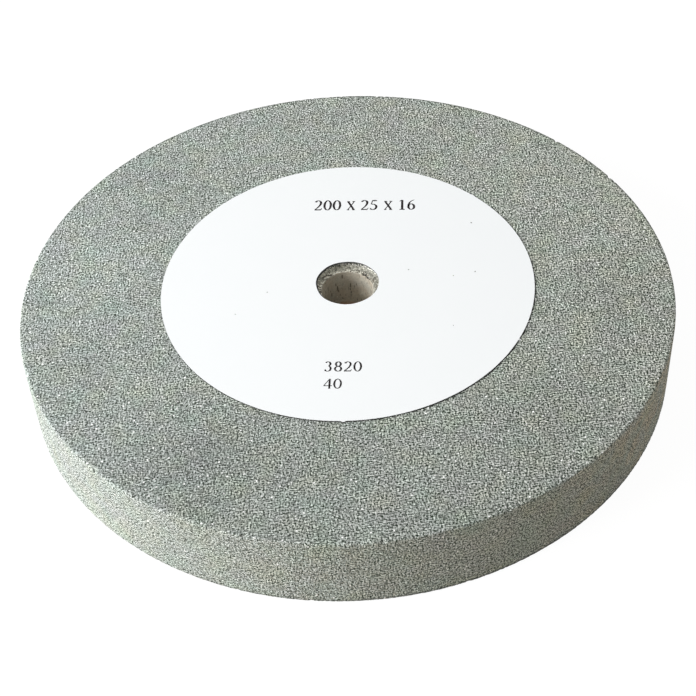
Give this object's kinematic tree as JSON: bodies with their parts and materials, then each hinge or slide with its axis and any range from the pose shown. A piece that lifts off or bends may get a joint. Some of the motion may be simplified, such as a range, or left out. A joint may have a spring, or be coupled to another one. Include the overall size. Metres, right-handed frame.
{
  "type": "bench grinding wheel",
  "caption": "Straight bonded abrasive wheel with a bushed spindle bore and a paper blotter on each side, for grinding and sharpening on a bench grinder.",
  "frame": {"origin": "on the spindle axis, at the outer face of the rear blotter, which the wheel lies on", "axes": "+Z along the spindle axis towards the front blotter; X and Y lie in the wheel's plane"},
  "size_m": [0.2, 0.2, 0.0256],
  "materials": {
    "abrasive": "matte",
    "bush": "satin",
    "blotter_paper": "matte"
  },
  "bodies": {
    "root": {"abrasive_wheel": "abrasive", "arbor_bush": "bush", "front_blotter": "blotter_paper", "rear_blotter": "blotter_paper"}
  },
  "joints": []
}
